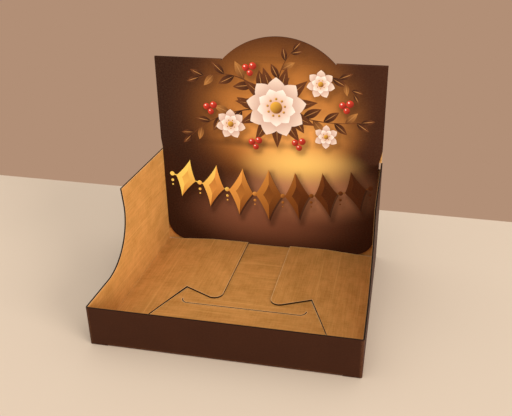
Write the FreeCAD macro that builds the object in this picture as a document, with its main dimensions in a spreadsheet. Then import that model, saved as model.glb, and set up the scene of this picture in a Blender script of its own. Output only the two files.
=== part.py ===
import FreeCAD, Part
import math
import os
import Sketcher

# Counter display stand folded from one die-cut sheet of litho-laminated E-flute board.
# The origin is on the surface that the stand rests on, in the middle of its footprint.
# X runs across the front, Y runs from the front to the back and Z runs up. Lengths are in mm.

NODE = "display_stand"

# Driving sizes, in one sheet. "from the front" means from the front wall's outer face.
SIZES = [
    ("width", 280.0, "outside width of the tray"),
    ("depth", 235.0, "outside depth of the tray"),
    ("frontHeight", 45.0, "height of the front wall"),
    ("sideHeight", 130.0, "height of the side walls at the back"),
    ("headerHeight", 249.0, "height of the header's two shoulders"),
    ("board", 1.8, "thickness of the board"),
    ("layerGap", 0.3, "air between two boards that lie on each other"),
    ("bendInside", 0.4, "inside radius of a fold"),
    ("footLift", 0.7, "from the surface below to the walls' raw feet, beside the bottom folds"),
    ("sideCorner", 104.6, "from the front to the side wall's upper corner"),
    ("sideLean", 12.9, "how far the side wall's front edge would reach back at front wall height"),
    ("sideSweep", 57.0, "radius of the side wall's curve"),
    ("archOffset", 12.0, "from the middle of the header to the middle of its arch"),
    ("archHalf", 68.3, "half the length of the arch at the fold line"),
    ("archRise", 30.2, "height of the arch over the fold line"),
    ("headerInset", 0.8, "how far the header's edges stand in from the side walls' outer faces"),
    ("panelPlay", 0.5, "play beside the header's front panel, inside the tray"),
    ("neckLift", 1.0, "from the side walls' top to where the header's front panel widens"),
    ("neckRise", 14.0, "height over which the header's front panel widens"),
    ("neckBend", 20.0, "radius of the curves where the header's front panel widens"),
    ("footCorner", 26.5, "radius of the header front panel's lower corners"),
    ("tabReach", 18.0, "width of the glue tab"),
    ("tabEnd", 8.0, "from the ends of the back edge to the ends of the glue tab"),
    ("tabTaper", 7.0, "how much shorter the glue tab's free edge is at each end"),
    ("grooveDepth", 1.5, "depth of the groove between the back fold and the right wall's raw edge"),
    ("flapPlay", 0.6, "play between the edge of a bottom flap and what it meets"),
    ("hingeRun", 6.0, "level strip of a bottom flap beside its fold"),
    ("flapGap", 56.0, "gap between the free edges of the two side flaps"),
    ("slantFoot", 121.0, "from the middle to a side flap's slanted edge, at the front wall"),
    ("apexHalf", 74.2, "from the middle to the point of a side flap"),
    ("apexReach", 114.4, "from the front to the point of a side flap"),
    ("noseReach", 92.1, "from the front to the unrounded nose of a side flap"),
    ("noseRound", 10.0, "radius of a side flap's nose"),
    ("kneeMargin", 4.0, "from the slit panel's edge to the bend in a side flap"),
    ("neckHalf", 72.0, "half the width of the slit panel, under the side flaps"),
    ("slitReach", 84.8, "from the front to the slit"),
    ("slitHalf", 64.0, "half the length of the slit's straight part"),
    ("slitCurl", 7.5, "radius of the slit's curled ends"),
    ("slitKerf", 1.2, "width of the slit"),
    ("tongueTip", 78.0, "from the front to the tip of the tongue"),
    ("tongueHalf", 58.0, "half the width of the tongue"),
    ("tongueLength", 58.0, "length of the tongue, past the panel that carries it"),
    ("tongueRound", 16.0, "radius of the tongue's corners"),
    ("tongueHinge", 103.0, "half the width of the tongue panel at its fold"),
    ("tongueShoulder", 78.0, "half the width of the tongue panel where the tongue begins"),
]

# Places that several panels share, written once.
FRONT = "(-Sizes.depth / 2)"
BACK = "(Sizes.depth / 2)"
HALF = "(Sizes.width / 2)"
BEND = "(Sizes.bendInside + Sizes.board)"
PITCH = "(Sizes.board + Sizes.layerGap)"
HINGE_TOP = "(2 * Sizes.board)"
PLAN_HEIGHT = f"(4 * {PITCH})"
HEADER_FACE = f"({BACK} - Sizes.board - {PITCH})"
FLAP_END = f"({HEADER_FACE} - Sizes.flapPlay)"
FOLD_RADIUS = "(Sizes.board + Sizes.layerGap / 2)"
FOLD_LEVEL = f"(Sizes.headerHeight - {FOLD_RADIUS})"
HEADER_HALF = f"({HALF} - Sizes.headerInset)"
ARCH_RADIUS = "((Sizes.archHalf ^ 2 + Sizes.archRise ^ 2) / (2 * Sizes.archRise))"

# Directions that turn a drawing's own plane to the plane that it is drawn on.
FLAT = FreeCAD.Rotation()
ACROSS = FreeCAD.Rotation(FreeCAD.Vector(1, 0, 0), 90)
SIDEWAYS = FreeCAD.Rotation(FreeCAD.Vector(1, 1, 1), 120)


def makeSheet(doc):
    """Writes each driving size to a row of its own and names the cell."""
    sheet = doc.addObject("Spreadsheet::Sheet", "Sizes")
    for row, (name, value, meaning) in enumerate(SIZES, start=1):
        sheet.set(f"A{row}", name)
        sheet.set(f"B{row}", str(value))
        sheet.set(f"C{row}", meaning)
        sheet.setAlias(f"B{row}", name)
    doc.recompute()
    return sheet


def place(item, rotation, **offsets):
    """Turns an object to its plane and ties each offset that is given to a formula."""
    item.Placement = FreeCAD.Placement(FreeCAD.Vector(), rotation)
    for axis, formula in offsets.items():
        item.setExpression(f"Placement.Base.{axis}", formula)


def tie(item, **formulas):
    """Ties properties of an object to formulas."""
    for name, formula in formulas.items():
        item.setExpression(name, formula)


def drive(sketch, kind, parts, formula):
    """Adds a measured constraint and ties it to a formula."""
    value = sketch.evalExpression(formula)
    index = sketch.addConstraint(Sketcher.Constraint(kind, *parts, float(value)))
    sketch.setExpression(f"Constraints[{index}]", formula)


def pin(sketch, geometry, point, corner):
    """Holds a point of the drawing at a corner's two formulas."""
    drive(sketch, "DistanceX", (-1, 1, geometry, point), corner[0])
    drive(sketch, "DistanceY", (-1, 1, geometry, point), corner[1])


def cornerEnds(before, here, after, radius):
    """Gives where a corner's rounding starts and ends."""
    toBefore = (before - here).normalize()
    toAfter = (after - here).normalize()
    half = toBefore.getAngle(toAfter) / 2
    run = radius / math.tan(half)
    return here + toBefore * run, here + toAfter * run


def roundingArc(here, start, end, radius):
    """Gives a corner's arc, and whether it runs the same way as the outline."""
    middle = (start + end) / 2
    out = (middle - here).normalize()
    reach = math.hypot(radius, (start - here).Length)
    centre = here + out * reach
    first = math.atan2(start.y - centre.y, start.x - centre.x)
    last = math.atan2(end.y - centre.y, end.x - centre.x)
    turn = (last - first) % (2 * math.pi)
    forward = turn < math.pi
    if not forward:
        first, last = last, first
    circle = Part.Circle(centre, FreeCAD.Vector(0, 0, 1), radius)
    return Part.ArcOfCircle(circle, first, last), forward


def roundCorner(sketch, corner, here, ends, lineBefore, lineAfter):
    """Joins two lines by an arc, tangent to both, round a corner that stays pinned."""
    radius = float(sketch.evalExpression(corner[2]))
    arc, forward = roundingArc(here, ends[0], ends[1], radius)
    arcIndex = sketch.addGeometry(arc)
    pointIndex = sketch.addGeometry(Part.Point(here), True)
    first, last = (1, 2) if forward else (2, 1)
    sketch.addConstraint(Sketcher.Constraint("Tangent", lineBefore, 2, arcIndex, first))
    sketch.addConstraint(Sketcher.Constraint("Tangent", arcIndex, last, lineAfter, 1))
    sketch.addConstraint(Sketcher.Constraint("PointOnObject", pointIndex, 1, lineBefore))
    sketch.addConstraint(Sketcher.Constraint("PointOnObject", pointIndex, 1, lineAfter))
    pin(sketch, pointIndex, 1, corner)
    drive(sketch, "Radius", (arcIndex,), corner[2])


def drawOutline(sketch, corners):
    """Draws a closed outline. A corner is two formulas, and a third that rounds it."""
    count = len(corners)
    spots = []
    for corner in corners:
        spot = [float(sketch.evalExpression(formula)) for formula in corner[:2]]
        spots.append(FreeCAD.Vector(spot[0], spot[1], 0))
    ends = []
    for i, corner in enumerate(corners):
        if len(corner) == 2:
            ends.append((spots[i], spots[i]))
            continue
        radius = float(sketch.evalExpression(corner[2]))
        ends.append(cornerEnds(spots[i - 1], spots[i], spots[(i + 1) % count], radius))
    first = sketch.GeometryCount
    for i in range(count):
        sketch.addGeometry(Part.LineSegment(ends[i][1], ends[(i + 1) % count][0]))
    for i, corner in enumerate(corners):
        lineBefore = first + (i - 1) % count
        lineAfter = first + i
        if len(corner) == 2:
            sketch.addConstraint(
                Sketcher.Constraint("Coincident", lineBefore, 2, lineAfter, 1))
            pin(sketch, lineAfter, 1, corner)
        else:
            roundCorner(sketch, corner, spots[i], ends[i], lineBefore, lineAfter)


def extrude(doc, name, outlines, rotation, length, **offsets):
    """Draws outlines on one plane and gives them a thickness along its normal."""
    sketch = doc.addObject("Sketcher::SketchObject", name + "Sketch")
    place(sketch, rotation, **offsets)
    for corners in outlines:
        drawOutline(sketch, corners)
    solid = doc.addObject("Part::Extrusion", name)
    solid.Base = sketch
    solid.DirMode = "Normal"
    solid.Solid = True
    tie(solid, LengthFwd=length)
    return solid


def block(doc, name, low, size):
    """Makes a box from the formulas of its low corner and its three lengths."""
    box = doc.addObject("Part::Box", name)
    place(box, FLAT, x=low[0], y=low[1], z=low[2])
    tie(box, Length=size[0], Width=size[1], Height=size[2])
    return box


def combine(doc, kind, name, base, tool):
    """Cuts the tool from the base, or keeps what both share."""
    result = doc.addObject(kind, name)
    result.Base = base
    result.Tool = tool
    return result


def fuse(doc, name, shapes):
    """Joins solids to one."""
    result = doc.addObject("Part::MultiFuse", name)
    result.Shapes = shapes
    result.Refine = True
    return result


def mirrored(corners):
    """Gives an outline's right half followed by its left half."""
    left = [(f"-({corner[0]})",) + corner[1:] for corner in reversed(corners)]
    return corners + left


def rectangle(low, high, radius=None):
    """Gives a rectangle's four corners, rounded if a radius is given."""
    tail = (radius,) if radius else ()
    corners = [(low[0], low[1]), (high[0], low[1]), (high[0], high[1]), (low[0], high[1])]
    return [corner + tail for corner in corners]


def makeWalls(doc):
    """Four walls as one band, folded at three corners, with the sides' curved top edge."""
    outer = rectangle((f"-{HALF}", FRONT), (HALF, BACK), BEND)
    outer[2] = outer[2][:2]
    inner = rectangle((f"-{HALF} + Sizes.board", f"{FRONT} + Sizes.board"),
                      (f"{HALF} - Sizes.board", f"{BACK} - Sizes.board"), "Sizes.bendInside")
    band = extrude(doc, "WallBand", [outer, inner], FLAT, "Sizes.sideHeight - Sizes.footLift",
                   z="Sizes.footLift")
    over = "(Sizes.sideHeight + Sizes.board)"
    past = f"({FRONT} - Sizes.board)"
    corner = f"{FRONT} + Sizes.sideCorner"
    slope = "Sizes.sideLean / (Sizes.sideHeight - Sizes.frontHeight)"
    sweep = [
        (past, "Sizes.frontHeight"),
        (f"{corner} + Sizes.sideLean", "Sizes.frontHeight", "Sizes.sideSweep"),
        (f"{corner} - Sizes.board * {slope}", over),
        (past, over),
    ]
    sweepCut = extrude(doc, "SideSweep", [sweep], SIDEWAYS, "Sizes.width", x=f"-{HALF}")
    return combine(doc, "Part::Cut", "Walls", band, sweepCut)


def makeCornerGroove(doc):
    """The groove at the back right, where the back panel folds in behind the side wall."""
    edge = f"{HALF} - Sizes.board"
    corner = block(doc, "GrooveBlock", (f"{edge} - {BEND}", f"{BACK} - Sizes.grooveDepth", "0"),
                   (BEND, "Sizes.grooveDepth", "Sizes.sideHeight"))
    bend = doc.addObject("Part::Cylinder", "GrooveBend")
    place(bend, FLAT, x=f"{edge} - {BEND}", y=f"{BACK} - {BEND}")
    tie(bend, Radius=BEND, Height="Sizes.sideHeight")
    return combine(doc, "Part::Cut", "CornerGroove", corner, bend)


def makeGlueTab(doc):
    """The tapered tab on the back panel's right edge, bonded into the right wall's inside."""
    back = f"{BACK} - Sizes.board"
    free = f"{BACK} - Sizes.tabReach"
    top = "Sizes.sideHeight - Sizes.tabEnd"
    outline = [
        (back, "Sizes.tabEnd"),
        (back, top),
        (free, f"{top} - Sizes.tabTaper"),
        (free, "Sizes.tabEnd + Sizes.tabTaper"),
    ]
    bonded = "Sizes.board / 2"
    return extrude(doc, "GlueTab", [outline], SIDEWAYS, f"Sizes.board + {bonded}",
                   x=f"{HALF} - 2 * Sizes.board")


def makeArchDisc(doc, name, level, depthAt):
    """A disc of the arch's radius and the board's thickness, standing upright."""
    disc = doc.addObject("Part::Cylinder", name)
    place(disc, ACROSS, x="Sizes.archOffset", y=depthAt, z=level)
    tie(disc, Radius=ARCH_RADIUS, Height="Sizes.board")
    return disc


def makeBackPanel(doc):
    """The back panel above its fold, with the hole that the header's arch was cut from."""
    right = f"{HALF} - Sizes.board - {BEND}"
    left = f"-({HALF} - {BEND})"
    outline = [
        (right, HINGE_TOP),
        (right, "Sizes.sideHeight"),
        (HEADER_HALF, "Sizes.sideHeight"),
        (HEADER_HALF, FOLD_LEVEL),
        (f"-{HEADER_HALF}", FOLD_LEVEL),
        (f"-{HEADER_HALF}", "Sizes.sideHeight"),
        (left, "Sizes.sideHeight"),
        (left, HINGE_TOP),
    ]
    panel = extrude(doc, "BackSheet", [outline], ACROSS, "Sizes.board", y=BACK)
    disc = makeArchDisc(doc, "ArchHole", f"{FOLD_LEVEL} - Sizes.archRise + {ARCH_RADIUS}", BACK)
    return combine(doc, "Part::Cut", "BackPanel", panel, disc)


def makeFrontPanel(doc):
    """The header's front panel: it widens above the side walls and has rounded feet."""
    foot = PITCH
    low = "Sizes.sideHeight + Sizes.neckLift"
    high = f"{low} + Sizes.neckRise"
    left = f"-({HALF} - Sizes.board - Sizes.panelPlay)"
    right = f"{HALF} - 2 * Sizes.board - Sizes.panelPlay"
    outline = [
        (right, foot, "Sizes.footCorner"),
        (right, low, "Sizes.neckBend"),
        (HEADER_HALF, high, "Sizes.neckBend"),
        (HEADER_HALF, FOLD_LEVEL),
        (f"-{HEADER_HALF}", FOLD_LEVEL),
        (f"-{HEADER_HALF}", high, "Sizes.neckBend"),
        (left, low, "Sizes.neckBend"),
        (left, foot, "Sizes.footCorner"),
    ]
    return extrude(doc, "FrontPanel", [outline], ACROSS, "Sizes.board", y=f"{BACK} - {PITCH}")


def makeArch(doc):
    """The arch of the header's front panel, which stands up past the fold line."""
    disc = makeArchDisc(doc, "ArchDisc", f"{FOLD_LEVEL} + Sizes.archRise - {ARCH_RADIUS}",
                        f"{BACK} - {PITCH}")
    above = block(doc, "ArchRoom",
                  (f"Sizes.archOffset - {ARCH_RADIUS}", HEADER_FACE, FOLD_LEVEL),
                  (f"2 * {ARCH_RADIUS}", "Sizes.board", ARCH_RADIUS))
    return combine(doc, "Part::Common", "Arch", disc, above)


def makeHeaderFold(doc):
    """The 180 degree fold along the two shoulders, open between them under the arch."""
    halves = []
    for name, radius in (("FoldOuter", FOLD_RADIUS), ("FoldInner", "Sizes.layerGap / 2")):
        half = doc.addObject("Part::Cylinder", name)
        place(half, SIDEWAYS, x=f"-{HEADER_HALF}", y=f"{BACK} - {FOLD_RADIUS}", z=FOLD_LEVEL)
        tie(half, Radius=radius, Height=f"2 * {HEADER_HALF}", Angle="180")
        halves.append(half)
    fold = combine(doc, "Part::Cut", "FoldTube", halves[0], halves[1])
    gap = block(doc, "FoldGap",
                ("Sizes.archOffset - Sizes.archHalf", f"{BACK} - 2 * {FOLD_RADIUS}", FOLD_LEVEL),
                ("2 * Sizes.archHalf", f"2 * {FOLD_RADIUS}", FOLD_RADIUS))
    return combine(doc, "Part::Cut", "HeaderFold", fold, gap)


def flapSection(edge, inward, knee, level, end):
    """Section of a bottom flap: its fold, its rise from the fold to a level, its end."""
    def at(distance):
        return f"({edge} + ({inward}) * ({distance}))"
    run = "Sizes.hingeRun"
    return [
        (edge, HINGE_TOP),
        (edge, "0", BEND),
        (at(run), "0"),
        (knee, level),
        (end, level),
        (end, f"{level} + Sizes.board"),
        (knee, f"{level} + Sizes.board"),
        (at(run), "Sizes.board"),
        (at("Sizes.board"), "Sizes.board", "Sizes.bendInside"),
        (at("Sizes.board"), HINGE_TOP),
    ]


def slantAt(reach):
    """How far out a side flap's slanted edge is at a distance from the front."""
    rise = "(Sizes.slantFoot - Sizes.apexHalf) / (Sizes.apexReach - Sizes.board)"
    return f"(Sizes.slantFoot - ({reach} - Sizes.board) * {rise})"


def slitOutline():
    """The slit's straight middle, closed to a narrow band."""
    near = f"{FRONT} + Sizes.slitReach - Sizes.slitKerf / 2"
    return rectangle(("-Sizes.slitHalf", near), ("Sizes.slitHalf", f"{near} + Sizes.slitKerf"))


def makeSlit(doc):
    """The slit of the bottom: a straight cut whose two ends curl towards the back."""
    pieces = [extrude(doc, "SlitMiddle", [slitOutline()], FLAT, PLAN_HEIGHT)]
    for side, hand in ((-1, "Left"), (1, "Right")):
        centre = {"x": f"{side} * Sizes.slitHalf",
                  "y": f"{FRONT} + Sizes.slitReach + Sizes.slitCurl"}
        rings = []
        for name, sign in (("Outer", "+"), ("Inner", "-")):
            ring = doc.addObject("Part::Cylinder", f"SlitCurl{name}{hand}")
            start = 180 if side < 0 else 270
            place(ring, FreeCAD.Rotation(FreeCAD.Vector(0, 0, 1), start), **centre)
            tie(ring, Radius=f"Sizes.slitCurl {sign} Sizes.slitKerf / 2",
                Height=PLAN_HEIGHT, Angle="90")
            rings.append(ring)
        pieces.append(combine(doc, "Part::Cut", f"SlitCurl{hand}", rings[0], rings[1]))
    return fuse(doc, "Slit", pieces)


def makeSlitPanel(doc):
    """The bottom panel hinged at the front wall, between and under the side flaps."""
    section = flapSection(FRONT, "1", f"{FRONT} + Sizes.tongueTip - Sizes.hingeRun / 2",
                          PITCH, FLAP_END)
    band = extrude(doc, "SlitPanelBand", [section], SIDEWAYS, "Sizes.width", x=f"-{HALF}")
    hinge = f"{slantAt(BEND)} - Sizes.flapPlay"
    waist = f"{slantAt('Sizes.apexReach')} - Sizes.flapPlay"
    outline = mirrored([
        (hinge, FRONT),
        (hinge, f"{FRONT} + {BEND}"),
        (waist, f"{FRONT} + Sizes.apexReach"),
        ("Sizes.neckHalf", f"{FRONT} + Sizes.apexReach + Sizes.hingeRun"),
        ("Sizes.neckHalf", FLAP_END),
    ])
    plan = extrude(doc, "SlitPanelPlan", [outline], FLAT, PLAN_HEIGHT)
    panel = combine(doc, "Part::Common", "SlitPanelBlank", band, plan)
    return combine(doc, "Part::Cut", "SlitPanel", panel, makeSlit(doc)), hinge


def makeSideFlap(doc, side):
    """A bottom flap hinged at a side wall: slanted front edge, hook, rounded nose."""
    name = "LeftFlap" if side < 0 else "RightFlap"
    section = flapSection(f"{side} * {HALF}", -side,
                          f"{side} * (Sizes.neckHalf + Sizes.kneeMargin)",
                          f"2 * {PITCH}", f"{side} * Sizes.flapGap / 2")
    band = extrude(doc, name + "Band", [section], ACROSS, "Sizes.depth", y=BACK)
    start = f"{FRONT} + Sizes.board + Sizes.flapPlay"
    reach = "(Sizes.board + Sizes.flapPlay)"
    outline = [
        (f"{side} * {HALF}", start),
        (f"{side} * {slantAt(reach)}", start),
        (f"{side} * Sizes.apexHalf", f"{FRONT} + Sizes.apexReach"),
        (f"{side} * Sizes.flapGap / 2", f"{FRONT} + Sizes.noseReach", "Sizes.noseRound"),
        (f"{side} * Sizes.flapGap / 2", FLAP_END),
        (f"{side} * {HALF}", FLAP_END),
    ]
    plan = extrude(doc, name + "Plan", [outline], FLAT, PLAN_HEIGHT)
    return combine(doc, "Part::Common", name, band, plan), start


def makeTonguePanel(doc):
    """The bottom panel hinged at the back wall, lowest of all, ending in a tongue."""
    tip = f"{FRONT} + Sizes.tongueTip"
    section = [
        (BACK, HINGE_TOP),
        (BACK, "0", BEND),
        (tip, "0"),
        (tip, "Sizes.board"),
        (f"{BACK} - Sizes.board", "Sizes.board", "Sizes.bendInside"),
        (f"{BACK} - Sizes.board", HINGE_TOP),
    ]
    band = extrude(doc, "TonguePanelBand", [section], SIDEWAYS, "Sizes.width", x=f"-{HALF}")
    neck = f"{tip} + Sizes.tongueLength"
    outline = mirrored([
        ("Sizes.tongueHalf", tip, "Sizes.tongueRound"),
        ("Sizes.tongueHalf", neck),
        ("Sizes.tongueShoulder", neck),
        ("Sizes.tongueHinge", f"{BACK} - {BEND}"),
        ("Sizes.tongueHinge", BACK),
    ])
    plan = extrude(doc, "TonguePanelPlan", [outline], FLAT, PLAN_HEIGHT)
    return combine(doc, "Part::Common", "TonguePanel", band, plan)


def cutHinges(doc, walls, hinge, flapStart):
    """Takes the square lower edge off the walls wherever a bottom flap's fold takes over."""
    spans = [
        block(doc, "FrontHinge", (f"-({hinge})", FRONT, "0"),
              (f"2 * ({hinge})", "Sizes.board", HINGE_TOP)),
        block(doc, "BackHinge", ("-Sizes.tongueHinge", f"{BACK} - Sizes.board", "0"),
              ("2 * Sizes.tongueHinge", "Sizes.board", HINGE_TOP)),
    ]
    for name, low in (("LeftHinge", f"-{HALF}"), ("RightHinge", f"{HALF} - Sizes.board")):
        spans.append(block(doc, name, (low, flapStart, "0"),
                           ("Sizes.board", f"{FLAP_END} - ({flapStart})", HINGE_TOP)))
    spans.append(makeCornerGroove(doc))
    tools = doc.addObject("Part::MultiFuse", "HingeRooms")
    tools.Shapes = spans
    return combine(doc, "Part::Cut", "FoldedWalls", walls, tools)


def checkDocument(doc):
    """Stops if any object of the document failed or has no sound shape."""
    for item in doc.Objects:
        if "Invalid" in item.State or "Error" in item.State:
            raise RuntimeError(f"{item.Name} failed: {item.State}")
        if item.isDerivedFrom("Part::Feature") and item.Shape.isNull():
            raise RuntimeError(f"{item.Name} has no shape")


def main():
    doc = FreeCAD.newDocument("DisplayStand")
    makeSheet(doc)
    slitPanel, hinge = makeSlitPanel(doc)
    leftFlap, flapStart = makeSideFlap(doc, -1)
    rightFlap, flapStart = makeSideFlap(doc, 1)
    walls = cutHinges(doc, makeWalls(doc), hinge, flapStart)
    header = [makeBackPanel(doc), makeFrontPanel(doc), makeArch(doc), makeHeaderFold(doc)]
    panels = [walls, makeGlueTab(doc), slitPanel, leftFlap, rightFlap, makeTonguePanel(doc)]
    stand = fuse(doc, "Stand", panels + header)
    stand.Label = NODE
    doc.recompute()
    checkDocument(doc)
    shape = stand.Shape
    if not shape.isValid() or len(shape.Solids) != 1:
        raise RuntimeError(f"{NODE} is not one sound solid: {len(shape.Solids)}")
    os.makedirs("parts", exist_ok=True)
    shape.exportStep(f"parts/{stand.Label}.step")
    box = shape.BoundBox
    print(f"{NODE}: volume {shape.Volume:.0f} mm3, faces {len(shape.Faces)}")
    print(f"x {box.XMin:.2f} {box.XMax:.2f}, y {box.YMin:.2f} {box.YMax:.2f}, "
          f"z {box.ZMin:.2f} {box.ZMax:.2f}")


main()
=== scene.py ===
import math

import bpy
import numpy as np
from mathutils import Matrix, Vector, geometry


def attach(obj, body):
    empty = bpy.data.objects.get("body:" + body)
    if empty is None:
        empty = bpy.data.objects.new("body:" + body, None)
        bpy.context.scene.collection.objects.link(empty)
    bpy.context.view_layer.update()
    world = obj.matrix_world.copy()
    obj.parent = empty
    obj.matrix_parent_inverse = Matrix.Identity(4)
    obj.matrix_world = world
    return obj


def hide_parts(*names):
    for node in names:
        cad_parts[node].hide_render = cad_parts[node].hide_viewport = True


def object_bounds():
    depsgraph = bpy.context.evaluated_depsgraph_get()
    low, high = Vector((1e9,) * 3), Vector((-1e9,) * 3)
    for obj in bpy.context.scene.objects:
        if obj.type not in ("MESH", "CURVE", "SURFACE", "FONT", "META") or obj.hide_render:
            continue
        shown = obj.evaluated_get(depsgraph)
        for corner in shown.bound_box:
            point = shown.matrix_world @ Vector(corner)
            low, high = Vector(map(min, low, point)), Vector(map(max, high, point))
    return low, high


# Counter display stand: one sheet of litho-laminated E-flute board, die-cut flat and folded.
# Blender works in metres. The blank's own sizes are written in mm.

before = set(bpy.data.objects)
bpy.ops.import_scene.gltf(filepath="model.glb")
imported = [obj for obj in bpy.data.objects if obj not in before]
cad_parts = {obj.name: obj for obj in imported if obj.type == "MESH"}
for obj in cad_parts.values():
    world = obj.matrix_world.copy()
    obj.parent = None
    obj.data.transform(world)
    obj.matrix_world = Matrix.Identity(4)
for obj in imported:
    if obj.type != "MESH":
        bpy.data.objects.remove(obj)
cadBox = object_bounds()
print("frame loaded")

mm = 0.001
tiny = 1e-9  # keeps a division off zero
quarter = math.pi / 2
halfWidth, halfDepth, archTop = (value / mm for value in cadBox[1])

blank = {
    "thickness": 1.8,  # E-flute with its two liners
    "insideBend": 0.4,  # inside radius of a crease
    "layerGap": 0.3,  # air between boards that lie on each other
    "glueLine": 0.05,
    "notch": 0.5,  # relief that the die cuts at the ends of a crease
    "footLift": 0.7,  # raw feet of the walls, beside the bottom creases
    "frontHeight": 45.0,
    "sideHeight": 130.0,
    "headerHeight": 249.0,
    "sideCorner": 104.6,  # from the front to a side wall's upper corner
    "sideLean": 12.9,  # how much further back its edge would reach the front wall's height
    "sideSweep": 57.0,  # radius of the sweep that it ends in
    "headerInset": 0.8,  # of the header's sides from the stand's
    "panelPlay": 0.5,  # between the header's front panel and the side walls
    "neckLift": 1.0,  # from the side walls' tops up to where that panel widens
    "neckRise": 14.0,
    "neckBend": 20.0,
    "footCorner": 26.5,
    "archOffset": 12.0,  # to the right of the stand's middle
    "archHalf": 68.3,
    "tabReach": 18.0,  # glue tab, from the back panel's outside
    "tabEnd": 8.0,  # shorter than the wall at either end
    "tabTaper": 7.0,
    "flapPlay": 0.6,  # between a bottom flap and what it ends beside
    "hingeRun": 6.0,  # level strip of a bottom flap, from the wall's face
    "flapGap": 56.0,  # between the two side flaps
    "slantFoot": 121.0,  # a side flap's slanted edge at the front wall, from the middle
    "apexHalf": 74.2,  # its other end, where the hook begins, from the middle
    "apexReach": 114.4,  # and from the front
    "noseReach": 92.1,  # the hook's nose, from the front
    "noseRound": 10.0,
    "kneeMargin": 4.0,  # a side flap is up on its level this far beside the slit panel
    "neckHalf": 72.0,  # the slit panel's half width under the side flaps
    "slitReach": 84.8,  # the slit's straight part, from the front
    "slitHalf": 64.0,
    "slitCurl": 7.5,
    "slitKerf": 1.2,
    "slitStep": 0.5,  # between the points of its curls
    "tongueTip": 78.0,  # from the front
    "tongueHalf": 58.0,
    "tongueLength": 58.0,
    "tongueRound": 16.0,
    "tongueHinge": 103.0,  # half the width at its crease
    "tongueShoulder": 78.0,
    "creaseSteps": 8,  # facets across a crease
    "creaseWearAndShade": 1.5,  # how far the board is crushed beside a crease, and the kraft's painted crease shade reaches
    "cutRim": 0.9,  # how far the pale rim beside a cut reaches: die scuff and painted edge highlight
    "meshStep": 7.0,  # between the mesh's inner points
    "artStep": 3.0,  # the same on the printed header
    "bow": 0.3,  # how far a tray wall bows in between its creases
    "softBend": 2.0,  # length over which a bottom flap changes its slope
    "flapSamples": 4000,  # points along a flap's section, 0.06 mm apart
    "touch": 0.05,  # slack for points that lie on an outline
    "cornerLimit": 0.6,  # keeps a loop moved beside a cut from shooting out at a sharp corner
    "merge": 1e-4,  # points of the mesh closer than this are one
    "sharpAngle": 35,  # degrees from which an edge of the mesh is shaded as a sharp one
}

thickness = blank["thickness"]
bend = blank["insideBend"] + thickness
crease = bend * quarter
pitch = thickness + blank["layerGap"]
notch = blank["notch"]
foldRadius = thickness + blank["layerGap"] / 2
foldLevel = blank["headerHeight"] - foldRadius
foldLength = math.pi * foldRadius
headerHalf = halfWidth - blank["headerInset"]
archRise = archTop - foldLevel
archRadius = (blank["archHalf"] ** 2 + archRise**2) / (2 * archRise)
slope = (blank["slantFoot"] - blank["apexHalf"]) / (blank["apexReach"] - thickness)
flapEnd = 2 * halfDepth - thickness - pitch - blank["flapPlay"]


def followRuns(runs, start, heading, distance, run=None):
    # A path of straight and evenly curved runs, each a length and the angle it turns. A point
    # is its run's start plus a chord of d sin(a) / a, a being half the angle turned over d.
    lengths, turns = np.array(runs, float).T
    begins = np.concatenate([[0], np.cumsum(lengths)[:-1]])
    bearings = heading + np.concatenate([[0], np.cumsum(turns)[:-1]])
    chords = lengths * np.sinc(turns / 2 / np.pi)
    middles = bearings + turns / 2
    steps = np.stack([chords * np.cos(middles), chords * np.sin(middles)], 1)
    corners = np.array(start, float) + np.concatenate([[[0, 0]], np.cumsum(steps, 0)[:-1]])
    own = np.clip(np.searchsorted(begins, distance, "right") - 1, 0, len(runs) - 1)
    run = own if run is None else np.where(run < 0, own, run)
    along = distance - begins[run]
    turned = along * (turns / lengths)[run]
    chord = along * np.sinc(turned / 2 / np.pi)
    towards = bearings[run] + turned / 2
    point = corners[run] + chord[:, None] * np.stack([np.cos(towards), np.sin(towards)], 1)
    return point, bearings[run] + turned


# Plan of the walls, clockwise from the right wall's raw back edge to the glue tab.
sideRun = 2 * halfDepth - bend
frontRun = 2 * (halfWidth - bend)
leftRun = 2 * (halfDepth - bend)
backRun = frontRun - thickness - blank["glueLine"]
tabRun = blank["tabReach"] - bend
planRuns = [(sideRun, 0), (crease, -quarter), (frontRun, 0), (crease, -quarter),
            (leftRun, 0), (crease, -quarter), (backRun, 0), (crease, -quarter), (tabRun, 0)]
planBegins = np.concatenate([[0], np.cumsum([length for length, turn in planRuns])])
frontMid = planBegins[2] + halfWidth - bend
leftBegin = planBegins[4]
backMid = planBegins[6] + halfWidth - bend
backPlane = 6  # the run of the plan that the header stands in

# Section of the header: up the back panel, over the fold and down the front panel.
headerRuns = [(foldLevel, 0), (foldLength, -math.pi), (foldLevel, 0)]
frontTop = foldLevel + foldLength
frontPlane = 2  # the run of the section that the arch stands in


def flapRuns(knee, level):
    # The crease, a level strip, a rise to the given level and the level rest.
    soft = blank["softBend"]
    run = knee - blank["hingeRun"]
    rise = math.atan2(level, run)
    return [(crease, quarter), (blank["hingeRun"] - bend - soft / 2, 0), (soft, rise),
            (math.hypot(run, level) - soft, 0), (soft, -rise), (2 * halfDepth, 0)]


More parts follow.
